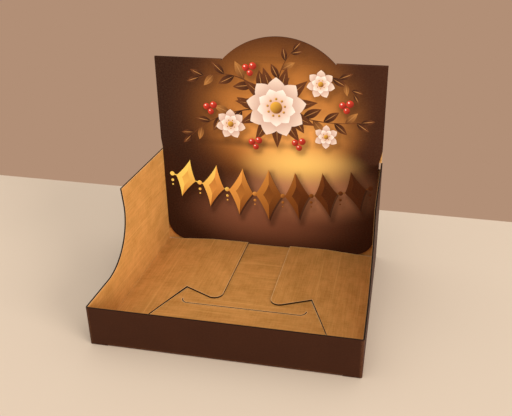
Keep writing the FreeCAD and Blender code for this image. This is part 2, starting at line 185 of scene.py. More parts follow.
sideKnee = halfWidth - blank["neckHalf"] - blank["kneeMargin"]
sideRuns = flapRuns(sideKnee, 2 * pitch)
slitRuns = flapRuns(blank["tongueTip"] - blank["hingeRun"] / 2, pitch)
tongueRuns = [(crease, quarter), (2 * halfDepth, 0)]
hingeStart = thickness + blank["flapPlay"]
slitHinge = blank["slantFoot"] - (bend - thickness) * slope - blank["flapPlay"]
flaps = [
    {"from": 2 * halfDepth - flapEnd, "to": 2 * halfDepth - hingeStart, "runs": sideRuns},
    {"from": frontMid - slitHinge, "to": frontMid + slitHinge, "runs": slitRuns},
    {"from": leftBegin + hingeStart - bend, "to": leftBegin + flapEnd - bend, "runs": sideRuns},
    {"from": backMid - blank["tongueHinge"], "to": backMid + blank["tongueHinge"],
     "runs": tongueRuns},
]


def flapHeight(runs, inset):
    # Height on the flat blank, below the crease, of a place that far in from the wall's face.
    walked = np.linspace(0, 2 * halfDepth, blank["flapSamples"])
    place = followRuns(runs, (0, bend), -quarter, walked)[0]
    return bend - float(np.interp(inset, place[:, 0], walked))


def arc(centre, radius, first, last, step=1.0):
    # Points on a circle between two angles, about a step apart, with four sides at least.
    count = max(4, int(abs(last - first) * radius / step))
    angles = np.linspace(first, last, count + 1)
    return np.array(centre) + radius * np.stack([np.cos(angles), np.sin(angles)], 1)


def roundedOutline(corners):
    # Corners (s, h) or (s, h, radius). A rounded one becomes the arc tangent to its two sides.
    places = np.array([corner[:2] for corner in corners], float)
    outline = []
    for i, corner in enumerate(corners):
        if len(corner) == 2:
            outline.append(places[i : i + 1])
            continue
        before = places[i - 1] - places[i]
        after = places[(i + 1) % len(corners)] - places[i]
        before, after = before / np.linalg.norm(before), after / np.linalg.norm(after)
        half = math.acos(float(before @ after)) / 2
        middle = (before + after) / np.linalg.norm(before + after)
        centre = places[i] + middle * corner[2] / math.sin(half)
        start = places[i] + before * corner[2] / math.tan(half) - centre
        end = places[i] + after * corner[2] / math.tan(half) - centre
        first = math.atan2(start[1], start[0])
        turn = (math.atan2(end[1], end[0]) - first + math.pi) % (2 * math.pi) - math.pi
        outline.append(arc(centre, corner[2], first, first + turn))
    return np.concatenate(outline)


def sideFlapCorners(wallAt):
    # A side flap from its front end to its back end; wallAt turns a reach from the front to s.
    def at(half, reach, *rounding):
        return (wallAt(reach), flapHeight(sideRuns, halfWidth - half), *rounding)
    gap = blank["flapGap"] / 2
    return [
        (wallAt(hingeStart), bend),
        (wallAt(hingeStart), -crease + bend),
        at(blank["slantFoot"] - blank["flapPlay"] * slope, hingeStart),
        at(blank["apexHalf"], blank["apexReach"]),
        at(gap, blank["noseReach"], blank["noseRound"]),
        at(gap, flapEnd),
        (wallAt(flapEnd), bend),
    ]


def hinge(corners):
    # The die's relief at both ends of a flap, between its crease and the wall's raw foot.
    first, last = corners[0][0] - notch, corners[-1][0] + notch
    foot = blank["footLift"]
    return [(first, foot), (first, bend), *corners, (last, bend), (last, foot)]


def blankOutline():
    # Once round the blank: below the right, front, left and back walls, up the glue tab, over
    # the header, and back along the top of the left, front and right walls.
    rightAt = lambda reach: 2 * halfDepth - reach
    leftAt = lambda reach: leftBegin + reach - bend
    deep = lambda reach: flapHeight(slitRuns, reach)
    waist = blank["apexHalf"] - blank["flapPlay"]
    half = [(slitHinge, bend), (slitHinge, deep(bend)), (waist, deep(blank["apexReach"])),
            (blank["neckHalf"], deep(blank["apexReach"] + blank["hingeRun"])),
            (blank["neckHalf"], deep(flapEnd))]
    slitPanel = [(frontMid - x, h) for x, h in half] + [(frontMid + x, h) for x, h in half[::-1]]
    tip = 2 * halfDepth - blank["tongueTip"]
    far = lambda inset: flapHeight(tongueRuns, inset)
    neck = far(tip - blank["tongueLength"])
    half = [(blank["tongueHinge"], bend), (blank["tongueHinge"], far(bend)),
            (blank["tongueShoulder"], neck), (blank["tongueHalf"], neck),
            (blank["tongueHalf"], far(tip), blank["tongueRound"])]
    tongue = [(backMid - at[0], *at[1:]) for at in half]
    tongue += [(backMid + at[0], *at[1:]) for at in half[::-1]]
    high = blank["sideHeight"]
    tabBegin = planBegins[7]
    tabFold, tabEdge = planBegins[8], planBegins[9]
    low, top = blank["tabEnd"], high - blank["tabEnd"]
    taper = blank["tabTaper"]
    tab = [(tabBegin, blank["footLift"]), (tabBegin, low), (tabFold, low), (tabEdge, low + taper),
           (tabEdge, top - taper), (tabFold, top), (tabBegin, top), (tabBegin, high + notch)]
    down = lambda level: frontTop + foldLevel - level
    neckLow = high + blank["neckLift"]
    neckHigh = neckLow + blank["neckRise"]
    right = backMid + halfWidth - 2 * thickness - blank["panelPlay"]
    left = backMid - halfWidth + thickness + blank["panelPlay"]
    ear = (backMid - headerHalf, backMid + headerHalf)
    header = [
        (ear[1], high + notch),
        (ear[1], down(neckHigh), blank["neckBend"]),
        (right, down(neckLow), blank["neckBend"]),
        (right, down(pitch), blank["footCorner"]),
        (left, down(pitch), blank["footCorner"]),
        (left, down(neckLow), blank["neckBend"]),
        (ear[0], down(neckHigh), blank["neckBend"]),
        (ear[0], high + notch),
        (planBegins[6], high + notch),
        (planBegins[6], high),
    ]
    upper, lower = blank["sideCorner"], blank["sideCorner"] + blank["sideLean"]
    front = blank["frontHeight"]
    tops = [(leftAt(upper), high), (leftAt(lower), front, blank["sideSweep"]),
            (rightAt(lower), front, blank["sideSweep"]), (rightAt(upper), high), (0, high)]
    return roundedOutline([
        (0, blank["footLift"]),
        *hinge(sideFlapCorners(rightAt)[::-1]), *hinge(slitPanel),
        *hinge(sideFlapCorners(leftAt)), *hinge(tongue),
        *tab, *header, *tops,
    ])


def slitOutline():
    # The slit: a straight cut whose two ends curl to the back in quarter circles.
    kerf = blank["slitKerf"] / 2
    step = blank["slitStep"]
    centre = blank["slitReach"] + blank["slitCurl"]
    sides = []
    for offset in (kerf, -kerf):
        radius = blank["slitCurl"] + offset
        left = arc((-blank["slitHalf"], centre), radius, -2 * quarter, -quarter, step)
        right = arc((blank["slitHalf"], centre), radius, -quarter, 0, step)
        sides.append(np.concatenate([left, right]))
    ring = np.concatenate([sides[0], sides[1][::-1]])
    rise = [flapHeight(slitRuns, reach) for reach in ring[:, 1]]
    return np.stack([frontMid - ring[:, 0], rise], 1)


def windowOutline():
    # The arch is cut from the back panel, so its hole runs on through the fold to the arch.
    reach = math.asin(blank["archHalf"] / archRadius)
    middle = backMid + blank["archOffset"]
    bowl = arc((middle, foldLevel - archRise + archRadius), archRadius,
               -quarter - reach, -quarter + reach)
    return np.concatenate([bowl, bowl[::-1] + np.array([0, foldLength])])


def archZone(flat):
    # True on the arch, which stays in the front panel's plane above the fold.
    touch = blank["touch"]
    across = flat[:, 0] - backMid - blank["archOffset"]
    up = flat[:, 1] - frontTop + archRise - archRadius
    inDisc = np.hypot(across, up) < archRadius + touch
    return inDisc & (flat[:, 1] < frontTop) & (abs(across) < blank["archHalf"] + touch)


def wallBow(s, h):
    # A tray wall bows in by a half sine between its corners, growing with its height.
    amount = np.zeros(len(s))
    for index in (0, 2, 4):
        share = np.clip((s - planBegins[index]) / planRuns[index][0], 0, 1)
        amount += blank["bow"] * np.sin(np.pi * share)
    return amount * np.clip((h - bend) / blank["sideHeight"], 0, 1)


def foldBlank(flat, depth):
    # A flat point goes to its place on the plan, in along the plan's normal by the section's
    # inset and up to its level, and through the board by depth along the section's normal.
    s, h = flat.T
    run = np.full(len(s), -1)
    run[h > blank["sideHeight"] + notch / 2] = backPlane
    plan, bearing = followRuns(planRuns, (halfWidth, halfDepth), -quarter, s, run)
    inward = np.stack([np.sin(bearing), -np.cos(bearing)], 1)
    level = np.where(archZone(flat), frontPlane, -1)
    section, tilt = followRuns(headerRuns, (0, 0), quarter, h, level)
    normal = np.stack([np.sin(tilt), -np.cos(tilt)], 1)
    section[:, 0] += wallBow(s, h)
    for flap in flaps:
        under = (h < bend) & (s > flap["from"] - notch / 2) & (s < flap["to"] + notch / 2)
        place, turned = followRuns(flap["runs"], (0, bend), -quarter, bend - h)
        section[under] = place[under]
        normal[under] = np.stack([-np.sin(turned), np.cos(turned)], 1)[under]
    across = section + normal * depth * thickness
    return np.column_stack([plan + inward * across[:, :1], across[:, 1]])


def insideLoops(points, loops):
    # Even-odd rule: how many sides of the loops a ray to the right of each point crosses. The
    # sides are taken a batch at a time, to spare memory.
    batch = 64
    starts = np.concatenate(loops)
    ends = np.concatenate([np.roll(loop, -1, 0) for loop in loops])
    odd = np.zeros(len(points), bool)
    for first in range(0, len(starts), batch):
        a, b = starts[first : first + batch], ends[first : first + batch]
        spans = (a[:, 1] > points[:, 1:]) != (b[:, 1] > points[:, 1:])
        rise = np.where(b[:, 1] == a[:, 1], 1, b[:, 1] - a[:, 1])
        cross = a[:, 0] + (points[:, 1:] - a[:, 1]) * (b[:, 0] - a[:, 0]) / rise
        odd ^= ((spans & (points[:, :1] < cross)).sum(1) % 2).astype(bool)
    return odd


def creaseLines():
    # Straight lines of the mesh along each crease, one on both sides of every facet of its bend,
    # and one on either side of the crease where its wear and the kraft's painted shade end.
    over = notch / 2
    wear = blank["creaseWearAndShade"] / crease
    steps = np.arange(blank["creaseSteps"] + 1) / blank["creaseSteps"]
    share = np.concatenate([[-wear], steps, [1 + wear]])
    high, front = blank["sideHeight"], blank["frontHeight"]
    lines = []
    for index, low, top in ((1, 0, front), (3, 0, front), (5, 0, high),
                            (7, blank["tabEnd"], high - blank["tabEnd"])):
        for s in planBegins[index] + share * crease:
            lines.append([(s, low - over), (s, top + over)])
    for flap in flaps:
        begins = bend - np.cumsum([length for length, turn in flap["runs"]])
        levels = np.concatenate([bend - share * crease, begins[1:-1]])
        lines += [[(flap["from"] - over, h), (flap["to"] + over, h)] for h in levels]
    fold = np.linspace(foldLevel, frontTop, 2 * blank["creaseSteps"] + 1)
    lines += [[(backMid - headerHalf - over, h), (backMid + headerHalf + over, h)] for h in fold]
    return lines


def innerPoints(loops):
    # A grid of points inside the blank, closer together on the printed header.
    low, high = loops[0].min(0), loops[0].max(0)
    artLow = (backMid - headerHalf, frontTop - archRise)
    grids = []
    for step, first, last in ((blank["meshStep"], low, (high[0], artLow[1])),
                              (blank["artStep"], artLow, high)):
        across, up = np.meshgrid(np.arange(first[0], last[0], step),
                                 np.arange(first[1], last[1], step))
        grids.append(np.stack([across.ravel(), up.ravel()], 1) + step / 2)
    points = np.concatenate(grids)
    return points[insideLoops(points, loops)]


def besideCut(loop, side):
    # A loop moved into the board. Each point goes along the sum of its two sides' normals a and
    # b, by 2 (a + b) / |a + b|^2 times the rim; the loop's area by the shoelace formula says
    # which way that is.
    run = np.roll(loop, -1, 0) - loop
    area = (loop[:, 0] * run[:, 1] - loop[:, 1] * run[:, 0]).sum()
    normal = np.stack([-run[:, 1], run[:, 0]], 1) / np.linalg.norm(run, axis=1)[:, None]
    both = normal + np.roll(normal, 1, 0)
    reach = side * np.sign(area) * blank["cutRim"]
    return loop + reach * 2 * both / np.maximum((both**2).sum(1), blank["cornerLimit"])[:, None]


def triangulate(loops, drawn, lines):
    # Delaunay mesh of the flat blank through its outlines, what is drawn on it, its creases
    # and a grid of inner points. A triangle stays if its middle is inside the blank.
    places, edges, base = [], [], 0
    for loop in [*loops, *drawn]:
        own = base + np.arange(len(loop))
        places.append(loop)
        edges.append(np.stack([own, np.roll(own, -1)], 1))
        base += len(loop)
    for line in lines:
        places.append(np.array(line, float))
        edges.append(np.array([[base, base + 1]]))
        base += 2
    places.append(innerPoints(loops))
    points = [Vector(point) for point in np.concatenate(places)]
    made = geometry.delaunay_2d_cdt(points, np.concatenate(edges).tolist(), [], 0,
                                    blank["merge"], False)
    flat = np.array([tuple(point) for point in made[0]])
    tris = np.array(made[2])
    tris = tris[insideLoops(flat[tris].mean(1), loops)]
    corners = flat[tris]
    sideA, sideB = corners[:, 1] - corners[:, 0], corners[:, 2] - corners[:, 0]
    area = sideA[:, 0] * sideB[:, 1] - sideA[:, 1] * sideB[:, 0]
    tris[area < 0] = tris[area < 0][:, ::-1]
    used, tris = np.unique(tris, return_inverse=True)
    return flat[used], tris.reshape(-1, 3)


def rimEdges(tris):
    # Directed sides that belong to one triangle only, so they run along the cut edges.
    sides = np.concatenate([tris[:, [0, 1]], tris[:, [1, 2]], tris[:, [2, 0]]])
    order = np.sort(sides, 1)
    where, count = np.unique(order, axis=0, return_index=True, return_counts=True)[1:]
    return sides[where[count == 1]]


def creaseWearAndShade(flat):
    # 1 on a crease, falling to 0 on either side where the print's rubbing and the kraft's crush and
    # painted shade end.
    s, h = flat.T
    far = 2 * blank["creaseWearAndShade"]
    away = np.full(len(flat), far)
    for index in (1, 3, 5, 7):
        past = np.abs(s - planBegins[index] - crease / 2) - crease / 2
        away = np.minimum(away, np.where(h < blank["sideHeight"] + notch / 2, past, far))
    for flap in flaps:
        past = np.abs(h - bend + crease / 2) - crease / 2
        along = (s > flap["from"] - notch / 2) & (s < flap["to"] + notch / 2)
        away = np.minimum(away, np.where(along, past, far))
    return 1 - np.clip(away / blank["creaseWearAndShade"], 0, 1)


def hexToLinear(code):
    # sRGB hex to the linear colour that Blender's sockets and attributes take.
    values = np.array([int(code[i : i + 2], 16) for i in (1, 3, 5)]) / 255
    linear = np.where(values <= 0.04045, values / 12.92, ((values + 0.055) / 1.055) ** 2.4)
    return (*linear, 1.0)


# The header's print: flowers and leaves over a hanging garland of cut gems. Places are x and
# height on the stand in mm, and two inks are those at a shape's foot and at its tip.
artwork = {
    "petal": ("#A85A44", "#F4DCC6"),
    "petalInner": ("#D08A62", "#FFF4E4"),
    "heart": ("#6B3512", "#F2B544"),
    "leaf": ("#27100A", "#6B3A1C"),
    "leafPale": ("#5A2E14", "#B87A3C"),
    "vein": ("#8A5426", "#C98F52"),
    "berry": ("#7E140E", "#E4452E"),
    "shine": ("#FFD9C2", "#FFF3EA"),
    "blossoms": [  # middle, radius and petals of a ring; the main one comes first
        ((10, 193), 37, 9), ((-47, 169), 19, 7), ((63, 224), 17, 7), ((71, 160), 15, 6)],
    "collar": (11, 0.3, 51, 15),  # leaves behind the main one: count, turn, length and width
    "sprays": [  # start, the place that the stem is drawn to, end, leaves and their length
        ((10, 193), (-30, 245), (-84, 226), 7, 27), ((10, 193), (-60, 190), (-98, 152), 7, 25),
        ((10, 193), (58, 172), (112, 180), 7, 27), ((10, 193), (8, 238), (30, 262), 5, 22),
        ((63, 224), (84, 244), (102, 214), 4, 20)],
    "berries": [(-22, 240), (94, 200), (-72, 190), (38, 150), (-16, 148)],
    "lightFrom": (-0.7, 0.7),  # upper left
    "dotStep": 1.2,  # between the points of a round shape
    "shadowSlide": (1.6, -2.0),  # where the gems' drawn shadow falls
    "softSlide": 1.5,  # how many times as far the soft shadow falls
    "shadowBlur": 4.0,
    "shadowEnd": 2.5,  # blurs from a shape to where its soft shadow ends
}


def motif(outline, first, last, inks, cover=1.0, shadow=0.0):
    # A printed shape: its outline, the two places that its inks blend between, how far it covers
    # what lies under it, and the share of its soft shadow.
    return {"outline": np.array(outline), "first": np.array(first, float),
            "last": np.array(last, float), "inks": [np.array(hexToLinear(ink)[:3]) for ink in inks],
            "cover": cover, "shadow": shadow}


def discShape(at, radius, inks, shadow=0.0):
    # A round dot, its second ink on the lit side.
    at = np.array(at, float)
    lit = radius * np.array(artwork["lightFrom"])
    ring = arc(at, radius, 0, 4 * quarter, artwork["dotStep"])[:-1]
    return motif(ring, at - lit, at + lit, inks, shadow=shadow)


leafPrint = {
    "points": 12,  # along each side
    "belly": 0.9,
    "veinLength": 0.88,  # share of the leaf's length
    "veinWidth": 0.9,
    "shadow": 0.2,
}


def leafShape(at, angle, length, width, inks, belly=1.0, shadow=0.0):
    # Half the width is a half sine of the way along, pushed to the tip by the belly's power.
    way = np.linspace(0, 1, leafPrint["points"])
    half = width / 2 * np.sin(np.pi * way**belly)
    ring = np.concatenate([np.stack([length * way, half], 1),
                           np.stack([length * way, -half], 1)[-2:0:-1]])
    along = np.array([math.cos(math.radians(angle)), math.sin(math.radians(angle))])
    side = np.array([-along[1], along[0]])
    at = np.array(at, float)
    return motif(at + ring[:, :1] * along + ring[:, 1:] * side, at, at + length * along, inks,
                 shadow=shadow)


def drawLeaf(at, angle, length, width, inks):
    # A leaf and the vein on it.
    veinLength = leafPrint["veinLength"] * length
    return [leafShape(at, angle, length, width, inks, leafPrint["belly"], leafPrint["shadow"]),
            leafShape(at, angle, veinLength, leafPrint["veinWidth"], artwork["vein"])]


sprayPrint = {
    "stemPoints": 14,
    "stemHalf": 0.9,  # half the stem's width at its foot
    "stemTaper": 0.6,  # and how much less it is at the tip
    "firstLeaf": 1.6,  # in spaces between leaves
    "splay": 40,  # degrees between a leaf and the stem
    "leafLength": 1.1,  # at the foot, as a share of the spray's own leaf length
    "leafShrink": 0.45,  # how much less that share is at the tip
    "leafWidth": 0.42,  # share of a leaf's length
    "tipLength": 0.62,
    "tipWidth": 0.26,
}


def drawSpray(start, control, end, count, length):
    # Leaves left and right along a stem, every third one pale. The stem is a parabola from start
    # to end, drawn to its control.
    start, control, end = (np.array(place, float) for place in (start, control, end))
    stem = lambda way: (1 - way) ** 2 * start + 2 * way * (1 - way) * control + way**2 * end
    bearing = lambda run: math.degrees(math.atan2(run[1], run[0]))
    way = np.linspace(0, 1, sprayPrint["stemPoints"])[:, None]
    path = stem(way)
    run = np.gradient(path, axis=0)
    side = np.stack([-run[:, 1], run[:, 0]], 1) / np.linalg.norm(run, axis=1)[:, None]
    half = sprayPrint["stemHalf"] - sprayPrint["stemTaper"] * way
    drawn = [motif(np.concatenate([path + half * side, (path - half * side)[::-1]]), start, end,
                   artwork["leaf"])]
    for i in range(count):
        share = (i + sprayPrint["firstLeaf"]) / (count + 1)
        towards = 2 * (1 - share) * (control - start) + 2 * share * (end - control)
        angle = bearing(towards) + (sprayPrint["splay"] if i % 2 else -sprayPrint["splay"])
        size = length * (sprayPrint["leafLength"] - sprayPrint["leafShrink"] * share)
        inks = artwork["leafPale" if i % 3 == 2 else "leaf"]
        drawn += drawLeaf(stem(share), angle, size, sprayPrint["leafWidth"] * size, inks)
    return drawn + drawLeaf(end, bearing(end - control), sprayPrint["tipLength"] * length,
                            sprayPrint["tipWidth"] * length, artwork["leaf"])


blossomPrint = {  # sizes as shares of the flower's radius
    "rings": [("petal", 1.0, 0.6, 0.0, 0.4), ("petalInner", 0.64, 0.42, 0.5, 0.0)],
    "belly": 1.55,
    "heart": 0.2,
    "stamenRing": 0.29,
    "stamenTurn": 0.25,
    "stamenSize": 0.035,
    "stamenMore": 0.3,  # mm on top, so that a small flower's stamens show
}


def drawBlossom(at, radius, petals):
    # Two rings of petals, a round heart and a ring of small stamens. A ring has its inks, its
    # petals' length and width, its turn in petals and its shadow.
    drawn = []
    for inks, length, width, turned, shadow in blossomPrint["rings"]:
        for i in range(petals):
            angle = 360 * (i + turned) / petals + 90
            drawn.append(leafShape(at, angle, length * radius, width * radius, artwork[inks],
                                   blossomPrint["belly"], shadow))
    drawn.append(discShape(at, blossomPrint["heart"] * radius, artwork["heart"]))
    reach = blossomPrint["stamenRing"] * radius
    size = blossomPrint["stamenSize"] * radius + blossomPrint["stamenMore"]
    for i in range(petals):
        angle = math.radians(360 * (i + blossomPrint["stamenTurn"]) / petals)
        spot = (at[0] + reach * math.cos(angle), at[1] + reach * math.sin(angle))
        drawn.append(discShape(spot, size, artwork["heart"]))
    return drawn


berryPrint = {
    "cluster": [(-4.6, 0, 4.2), (4.0, 2.2, 4.4), (0.4, -6.2, 3.8)],  # x, height and radius
    "shadow": 0.5,
    "shinePlace": (-0.34, 0.36),  # shares of the berry's radius
    "shineSize": 0.24,
}


def drawBerries(at):
    # A cluster of berries, each with a bright spot.
    drawn = []
    for x, z, radius in berryPrint["cluster"]:
        middle = np.array([at[0] + x, at[1] + z])
        spot = middle + radius * np.array(berryPrint["shinePlace"])
        drawn += [discShape(middle, radius, artwork["berry"], berryPrint["shadow"]),
                  discShape(spot, berryPrint["shineSize"] * radius, artwork["shine"])]
    return drawn


garlandPrint = {
    "inks": ("#FFD968", "#F7A94E", "#DC903C", "#B06A29", "#86481B", "#683615", "#552A10"),
    "pitch": 36.5,
    "size": (33.0, 66.0),
    "points": 48,  # round a gem
    "hollow": 0.86,  # power of a gem's outline, 2 for an ellipse and 1 for a diamond
    "middleSize": 1.08,  # of the gem in the middle
    "endShrink": 0.3,  # and how much less it is at the garland's ends
    "core": 0.42,  # the sunk middle, as a share of the gem
    "ends": 97.0,  # height of the garland's two ends
    "sag": 20.0,
    "cord": ("#FFD968", "#7A4218"),
    "cordHalf": 0.8,
    "cordPoints": 41,
    "shade": "#2A1008",
    "shadeCover": 0.6,
    "shadow": 0.5,
    "beads": [(0, 3.0), (-9, 1.9), (-15, 1.2)],  # height above the cord and radius
    "beadShadow": 0.25,
}


def drawGarland():
    # The cord hangs in a parabola, with gems turned square to it, smaller to its ends. A gem is
    # |x / a|^n + |z / b|^n = 1, n being its hollow, with a lit left half and a sunk middle.
    inks, sag = garlandPrint["inks"], garlandPrint["sag"]
    count = len(inks)
    reach = count / 2 * garlandPrint["pitch"]
    across, tall = garlandPrint["size"]
    angles = np.linspace(0, 2 * math.pi, garlandPrint["points"] + 1)[:-1]
    power = 2 / garlandPrint["hollow"]
    gem = np.stack([across / 2 * np.sign(np.cos(angles)) * np.abs(np.cos(angles)) ** power,
                    tall / 2 * np.sign(np.sin(angles)) * np.abs(np.sin(angles)) ** power], 1)
    left = gem[gem[:, 0] < tiny]
    hang = lambda way: np.stack([reach * way, garlandPrint["ends"] - sag * (1 - way**2)], -1)
    path = hang(np.linspace(-1, 1, garlandPrint["cordPoints"]))
    half = np.array([0, garlandPrint["cordHalf"]])
    drawn = [motif(np.concatenate([path + half, (path - half)[::-1]]), path[0], path[-1],
                   garlandPrint["cord"])]
    for i, ink in enumerate(inks):
        way = (2 * i + 1) / count - 1
        lean = math.atan(2 * sag * way / reach)
        turn = np.array([[math.cos(lean), math.sin(lean)], [-math.sin(lean), math.cos(lean)]])
        turn = turn * (garlandPrint["middleSize"] - garlandPrint["endShrink"] * abs(way))
        at = hang(np.array(way))
        up = np.array([0, tall / 2]) @ turn
        top, foot = at + up, at - up
        dark, pale = inks[min(i + 2, count - 1)], inks[max(i - 1, 0)]
        drawn += [motif(gem @ turn + at + artwork["shadowSlide"], foot, top,
                        [garlandPrint["shade"]] * 2, garlandPrint["shadeCover"],
                        garlandPrint["shadow"]),
                  motif(gem @ turn + at, foot, top, (dark, ink)),
                  motif(left @ turn + at, foot, top, (ink, pale)),
                  motif(garlandPrint["core"] * gem @ turn + at, top, foot, (dark, ink))]
    for i in range(count + 1):
        spot = hang(np.array(2 * i / count - 1))
        beads = (inks[min(i, count - 1)], inks[max(i - 2, 0)])
        for up, radius in garlandPrint["beads"]:
            drawn.append(discShape(spot + (0, up), radius, beads, garlandPrint["beadShadow"]))
    return drawn


def drawArtwork():
    # Every shape of the print, the lowest first.
    drawn = []
    for spray in artwork["sprays"]:
        drawn += drawSpray(*spray)
    count, turned, length, width = artwork["collar"]
    for i in range(count):
        drawn += drawLeaf(artwork["blossoms"][0][0], 360 * (i + turned) / count, length, width,
                          artwork["leaf"])
    for place in artwork["berries"]:
        drawn += drawBerries(place)
    for blossom in artwork["blossoms"][::-1]:
        drawn += drawBlossom(*blossom)
    return drawn + drawGarland()


def onHeader(flat):
    # From the flat blank to x and height on the header's front.
    return np.stack([flat[..., 0] - backMid, foldLevel + frontTop - flat[..., 1]], -1)


def onBlank(places):
    # From x and height on the header's front to the flat blank.
    return np.stack([places[..., 0] + backMid, foldLevel + frontTop - places[..., 1]], -1)


def awayFrom(points, loop):
    # Distance of points from a closed outline, 0 inside it.
    starts, run = loop, np.roll(loop, -1, 0) - loop
    reach = points[:, None] - starts
    share = np.clip((reach * run).sum(2) / np.maximum((run**2).sum(1), tiny), 0, 1)
    away = np.linalg.norm(reach - share[..., None] * run, axis=2).min(1)
    return np.where(insideLoops(points, [loop]), 0, away)


def inkCorners(flat, tris, front, drawn):
    # Ink colour and cover at each corner of the printed face: later shapes lie over earlier.
    ink = np.zeros((len(tris), 3, 4))
    corners = onHeader(flat[tris])
    middles = corners.mean(1)
    for item in drawn:
        low, high = item["outline"].min(0), item["outline"].max(0)
        near = np.flatnonzero(front & (middles > low).all(1) & (middles < high).all(1))
        hit = near[insideLoops(middles[near], [item["outline"]])]
        axis = item["last"] - item["first"]
        share = np.clip(((corners[hit] - item["first"]) @ axis) / (axis @ axis), 0, 1)[..., None]
        colour = item["inks"][0] * (1 - share) + item["inks"][1] * share
        under = ink[hit, :, 3:] * (1 - item["cover"])
        cover = item["cover"] + under
        ink[hit, :, :3] = (colour * item["cover"] + ink[hit, :, :3] * under) / cover
        ink[hit, :, 3:] = cover
    return ink


def inkShadow(flat, front, drawn):
    # Soft shadow under the drawn shapes: a bell curve of the distance from each.
    shade = np.zeros(len(flat))
    places = onHeader(flat)
    slide = np.array(artwork["shadowSlide"]) * artwork["softSlide"]
    room = artwork["shadowEnd"] * artwork["shadowBlur"]
    for item in drawn:
        if not item["shadow"]:
            continue
        outline = item["outline"] + slide
        low, high = outline.min(0) - room, outline.max(0) + room
        near = np.flatnonzero(front & (places > low).all(1) & (places < high).all(1))
        away = awayFrom(places[near], outline) / artwork["shadowBlur"]
        shade[near] = np.maximum(shade[near], item["shadow"] * np.exp(-(away**2)))
    return shade


def meshFromFlat(name, flat, tris, drawn):
    # The printed face at depth 0, the kraft face at depth 1 and the cut edges between them.
    count = len(flat)
    rims = rimEdges(tris)
    inner = tris + count
    outer = tris[:, ::-1]
    walls = np.stack([rims[:, 1] + count, rims[:, 0] + count, rims[:, 0], rims[:, 1]], 1)
    coords = np.concatenate([foldBlank(flat, 0), foldBlank(flat, 1)]) * mm
    loops = np.concatenate([outer.ravel(), inner.ravel(), walls.ravel()])
    triCount = 2 * len(tris)
    starts = np.concatenate([np.arange(triCount) * 3, triCount * 3 + np.arange(len(walls)) * 4])
    mesh = bpy.data.meshes.new(name)
    mesh.vertices.add(len(coords))
    mesh.vertices.foreach_set("co", coords.ravel())
    mesh.loops.add(len(loops))
    mesh.loops.foreach_set("vertex_index", loops.astype(np.int32))
    mesh.polygons.add(len(starts))
    mesh.polygons.foreach_set("loop_start", starts.astype(np.int32))
    mesh.update(calc_edges=True)

    # Materials are in the order in which they are made below: print, header, kraft and cut edge.
    middles = flat[tris].mean(1)
    front = (middles[:, 1] > frontTop) | archZone(middles)
    header = front | (middles[:, 1] > foldLevel)
    materials = np.concatenate([np.where(header, 1, 0), np.full(len(tris), 2),
                                np.full(len(walls), 3)])
    mesh.polygons.foreach_set("material_index", materials.astype(np.int32))
    mesh.polygons.foreach_set("use_smooth", np.ones(len(starts), bool))
    uv = mesh.uv_layers.new(name="blank")
    uv.data.foreach_set("uv", (flat[loops % count] * mm).ravel())
    ink = np.zeros((len(loops), 4))
    ink[: 3 * len(tris)] = inkCorners(flat, tris, front, drawn)[:, ::-1].reshape(-1, 4)
    colours = mesh.color_attributes.new("ink", "FLOAT_COLOR", "CORNER")
    colours.data.foreach_set("color", ink.ravel())
    onFront = (flat[:, 1] > frontTop) | archZone(flat)
    # 1 on the cut edges, where the kraft's pale rim (die scuff and painted edge highlight) is
    # strongest.
    cut = np.zeros(count)
    cut[rims.ravel()] = 1
    values = {"depth": np.repeat([0.0, 1.0], count), "crease": np.tile(creaseWearAndShade(flat), 2),
              "cutRim": np.tile(cut, 2), "inkShadow": np.tile(inkShadow(flat, onFront, drawn), 2)}
    for label, value in values.items():
        mesh.attributes.new(label, "FLOAT", "POINT").data.foreach_set("value", value)
    mesh.set_sharp_from_angle(angle=math.radians(blank["sharpAngle"]))
    mesh.validate()
    piece = bpy.data.objects.new(name, mesh)
    bpy.context.collection.objects.link(piece)
    return piece


# The pale rim, die scuff and painted edge highlight, lies inside the blank's outline and outside
# the slit and the window.
loops = [blankOutline(), slitOutline(), windowOutline()]
drawn = drawArtwork()
rims = [besideCut(loop, -1 if i else 1) for i, loop in enumerate(loops)]
shapes = [onBlank(item["outline"]) for item in drawn]
flat, tris = triangulate(loops, rims + shapes, creaseLines())
stand = meshFromFlat("foldedStand", flat, tris, drawn)
print("blank folded:", len(tris), "triangles a side")


def addNode(tree, kind, inputs=None, output=0, **settings):
    # A node with its settings. An input is a value, a hex colour or the socket to link it from,
    # and the chosen output comes back, ready to be linked on.
    node = tree.nodes.new("ShaderNode" + kind)
    for name, value in settings.items():
        setattr(node, name, value)
    for key, value in (inputs or {}).items():
        if isinstance(value, bpy.types.NodeSocket):
            tree.links.new(value, node.inputs[key])
        else:
            node.inputs[key].default_value = hexToLinear(value) if isinstance(value, str) else value
    return node.outputs[output] if len(node.outputs) else None


def newMaterial(name):
    # An empty material, and the tree that its nodes go into.
    material = bpy.data.materials.new(name)
    material.use_nodes = True
    material.node_tree.nodes.clear()
    return material, material.node_tree


noiseRoughness = 0.6


def grain(tree, size, detail=3.0, spread=(0.3, 0.7)):
    # Noise on the blank's own flat coordinates. The size is that of its features in mm, along
    # the blank and up it, and the spread is the part of its range that fills 0 to 1.
    place = addNode(tree, "UVMap", uv_map="blank")
    scale = (1 / (size[0] * mm), 1 / (size[1] * mm), 1)
    scaled = addNode(tree, "Mapping", {"Vector": place, "Scale": scale})
    noise = addNode(tree, "TexNoise", {"Vector": scaled, "Scale": 1.0, "Detail": detail,
                                       "Roughness": noiseRoughness})
    return addNode(tree, "MapRange", {"Value": noise, "From Min": spread[0],
                                      "From Max": spread[1]}, interpolation_type="SMOOTHSTEP")


